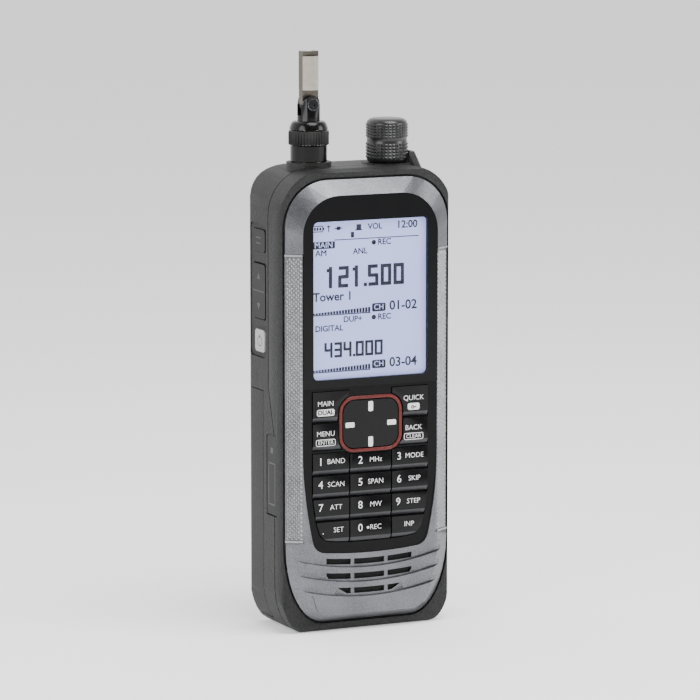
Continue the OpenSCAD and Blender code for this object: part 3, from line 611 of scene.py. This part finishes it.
def makeKnurl():
    bm = bmesh.new()
    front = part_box("front_frame")[0].y
    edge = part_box("front_frame")[1].x
    inner = Vector((edge - knurl["flatWide"] * mm, front + knurl["sink"] * mm, 0))
    outer = Vector((edge, front + (knurl["flatDeep"] + knurl["sink"]) * mm, 0))
    across = (outer - inner).normalized()
    out = Vector((-across.y, across.x, 0)) * -1
    half = knurl["pitch"] * mm / 2
    rows = int((knurl["high"] - knurl["low"]) / (knurl["pitch"] / 2))
    for side in (-1, 1):
        for i in range(rows):
            z = (knurl["low"] + knurl["pitch"] / 2 * (i + 0.5)) * mm
            for j in range(knurl["across"]):
                t = (j + (i % 2) / 2) * knurl["pitch"] * mm + half
                if t + half > (outer - inner).length:
                    continue
                p = inner + across * t
                centre = Vector((side * p.x, p.y, z)) - Vector((side * out.x, out.y, 0)) * 0.03 * mm
                addPyramid(bm, centre, Vector((0, 0, half)), Vector((side * across.x, across.y, 0)) * half,
                           Vector((side * out.x, out.y, 0)) * knurl["height"] * mm)
        middle = inner + across * (outer - inner).length / 2 + out * 0.12 * mm
        spot = Vector((side * middle.x, middle.y, 0))
        stand = Matrix.Rotation(math.atan2(across.y, side * across.x), 4, "Z")
        for z in (knurl["low"] - knurl["lip"] / 2, knurl["high"] + knurl["lip"] / 2):
            bmesh.ops.create_cube(bm, size=1, matrix=Matrix.Translation(spot + Vector((0, 0, z * mm))) @ stand
                                  @ Matrix.Diagonal(((outer - inner).length, knurl["lipDeep"] * mm,
                                                     knurl["lip"] * mm * 0.8, 1)))
    bmesh.ops.recalc_face_normals(bm, faces=bm.faces)
    # the pyramids and lips take the lighter paint: painted highlight
    finishPiece(toMesh(bm, "frameKnurl"), "frameKnurl", knurlHighlightPaint, bodyOf("front_frame"),
                smooth=10)


makeKnurl()

# dial: a turned body with two bands of pyramids
dial = {"x": 13.0, "y": 1.0, "foot": 143.4, "rim": 6.35, "round": 34, "rows": 5, "grip": 0.35}


def spinProfile(points, x, y, steps):
    bm = bmesh.new()
    verts = [bm.verts.new(((x + r) * mm, y * mm, z * mm)) for r, z in points]
    edges = [bm.edges.new(pair) for pair in zip(verts, verts[1:])]
    bmesh.ops.spin(bm, geom=verts + edges, cent=(x * mm, y * mm, 0), axis=(0, 0, 1), angle=math.tau,
                   steps=steps, use_merge=True)
    bmesh.ops.remove_doubles(bm, verts=bm.verts, dist=0.001 * mm)
    bmesh.ops.recalc_face_normals(bm, faces=bm.faces)
    return bm


def makeDial():
    z = dial["foot"]
    r = dial["rim"]
    bm = spinProfile([(0, z), (5.7, z), (6.1, z + 0.4), (r, z + 1.0), (r, z + 6.1), (r - 0.12, z + 6.3),
                      (r - 0.12, z + 7.3), (r, z + 7.5), (r, z + 12.0), (r - 0.3, z + 12.6),
                      (r - 1.0, z + 13.2), (r - 1.9, z + 13.48), (0, z + 13.5)], dial["x"], dial["y"], 72)
    for low, high in ((z + 1.1, z + 6.0), (z + 7.6, z + 11.9)):
        pitch = (high - low) / dial["rows"]
        for i in range(dial["rows"]):
            for j in range(dial["round"]):
                turn = math.tau * j / dial["round"]
                out = Vector((math.cos(turn), math.sin(turn), 0))
                side = Vector((-out.y, out.x, 0)) * (r * math.pi / dial["round"] * mm)
                up = Vector((0, 0, pitch / 2 * mm))
                centre = Vector((dial["x"] * mm, dial["y"] * mm, (low + pitch * (i + 0.5)) * mm))
                centre += out * (r - 0.06) * mm
                base = [bm.verts.new(centre + side * a + up * b)
                        for a, b in ((-1, -1), (1, -1), (1, 1), (-1, 1))]
                top = bm.verts.new(centre + out * dial["grip"] * mm)
                for k in range(4):
                    bm.faces.new((base[k], base[(k + 1) % 4], top))
                bm.faces.new(base[::-1])
    piece = finishPiece(toMesh(bm, "dialForm"), "dialForm", dialRubber, bodyOf("dial_knob"))
    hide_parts("dial_knob")


# coupling: a smooth sleeve under a ring with straight flutes
ring = {"x": -13.5, "y": 1.0, "foot": 144.65, "flutes": 38, "depth": 0.35}


def makeCoupling():
    z = ring["foot"]
    x = ring["x"]
    y = ring["y"]
    bm = spinProfile([(5.0, z), (5.5, z), (5.68, z + 0.2), (5.68, z + 4.8), (5.95, z + 5.0), (6.2, z + 5.2),
                      (6.25, z + 5.4), (6.25, z + 9.0), (6.15, z + 9.4), (5.8, z + 9.7), (5.0, z + 9.7),
                      (5.0, z)], x, y, ring["flutes"] * 2)
    for v in bm.verts:
        flat = Vector((v.co.x - x * mm, v.co.y - y * mm))
        inBand = (z + 5.3) * mm < v.co.z < (z + 9.1) * mm
        if inBand and flat.length > 5.9 * mm:
            step = round(math.atan2(flat.y, flat.x) / math.tau * ring["flutes"] * 2)
            if step % 2:
                v.co -= Vector((flat.x, flat.y, 0)).normalized() * ring["depth"] * mm
    piece = finishPiece(toMesh(bm, "couplingForm"), "couplingForm", blackChrome, bodyOf("bnc_coupling"),
                        smooth=22)
    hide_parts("bnc_coupling")


# a thin rim round the tilt screw's recess, in the grey chrome: a painted highlight
def makeScrewRim():
    bm = bmesh.new()
    low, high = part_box("pivot_screw")
    centre = Vector(((low.x + high.x) / 2, low.y - 0.02 * mm, (low.z + high.z) / 2))
    loop = bmesh.ops.create_circle(bm, segments=10, radius=0.1 * mm, matrix=Matrix.Translation(
        centre + Vector((1.72 * mm, 0, 0))))
    edges = list({e for v in loop["verts"] for e in v.link_edges})
    bmesh.ops.spin(bm, geom=loop["verts"] + edges, cent=centre, axis=(0, 1, 0), angle=math.tau, steps=40,
                   use_merge=True)
    bmesh.ops.recalc_face_normals(bm, faces=bm.faces)
    # the rim's grey colour is a painted highlight
    finishPiece(toMesh(bm, "screwRim"), "screwRim", rimHighlightChrome, bodyOf("pivot_screw"))


makeDial()
makeCoupling()
makeScrewRim()
print("dial and coupling made")

# floor, lights and camera
stageLook = {"floor": "#f6f6f6", "floorGlow": 0.4, "world": ("#5c5c5c", "#ffffff"), "worldPower": 1.7}


def makeStage():
    bm = bmesh.new()
    bmesh.ops.create_grid(bm, x_segments=1, y_segments=1, size=60.0)
    floor = bpy.data.objects.new("floor", toMesh(bm, "floor"))
    bpy.context.scene.collection.objects.link(floor)
    paper, shader = newMaterial("stagePaper", stageLook["floor"], Roughness=0.9)
    shader.inputs["Emission Color"].default_value = tint(stageLook["floor"])
    shader.inputs["Emission Strength"].default_value = stageLook["floorGlow"]
    floor.data.materials.append(paper)
    world = bpy.data.worlds.new("studio")
    bpy.context.scene.world = world
    world.use_nodes = True
    sky = world.node_tree.nodes["Background"]
    place = world.node_tree.nodes.new("ShaderNodeTexCoord")
    split = world.node_tree.nodes.new("ShaderNodeSeparateXYZ")
    ramp = world.node_tree.nodes.new("ShaderNodeValToRGB")
    spread = world.node_tree.nodes.new("ShaderNodeMapRange")
    spread.inputs["From Min"].default_value = -1
    for at, shade in zip((0, 1), stageLook["world"]):
        ramp.color_ramp.elements[at].color = tint(shade)
    ramp.color_ramp.elements[0].position = 0.3
    ramp.color_ramp.elements[1].position = 0.75
    for source, output, target, socket in (
            (place, "Generated", split, "Vector"), (split, "Y", spread, "Value"),
            (spread, "Result", ramp, "Fac"), (ramp, "Color", sky, "Color")):
        world.node_tree.links.new(source.outputs[output], target.inputs[socket])
    sky.inputs["Strength"].default_value = stageLook["worldPower"]


def addLight(name, place, aim, size, power):
    data = bpy.data.lights.new(name, "AREA")
    data.shape = "DISK"
    data.size = size
    data.energy = power
    lamp = bpy.data.objects.new(name, data)
    lamp.location = place
    lamp.rotation_euler = (Vector(aim) - Vector(place)).to_track_quat("-Z", "Y").to_euler()
    bpy.context.scene.collection.objects.link(lamp)


view = {"azimuth": -24.91, "elevation": 8.4, "distance": 1.331, "aim": (0, 0, 0.08533), "lens": 221.0}


def makeCamera():
    data = bpy.data.cameras.new("camera")
    data.lens = view["lens"]
    data.sensor_width = 36
    data.clip_start = 0.01
    camera = bpy.data.objects.new("camera", data)
    turn = math.radians(view["azimuth"])
    rise = math.radians(view["elevation"])
    away = Vector((math.sin(turn) * math.cos(rise), -math.cos(turn) * math.cos(rise), math.sin(rise)))
    camera.location = Vector(view["aim"]) + away * view["distance"]
    camera.rotation_euler = (-away).to_track_quat("-Z", "Y").to_euler()
    bpy.context.scene.collection.objects.link(camera)
    bpy.context.scene.camera = camera


makeStage()
addLight("topSoft", (0.1, -0.35, 0.9), (0, 0, 0.1), 0.7, 11)
addLight("rightSoft", (0.7, -0.5, 0.35), (0, 0, 0.08), 0.5, 4)
addLight("leftSoft", (-0.7, -0.3, 0.4), (0, 0, 0.08), 0.5, 3.4)
makeCamera()
print("stage made")
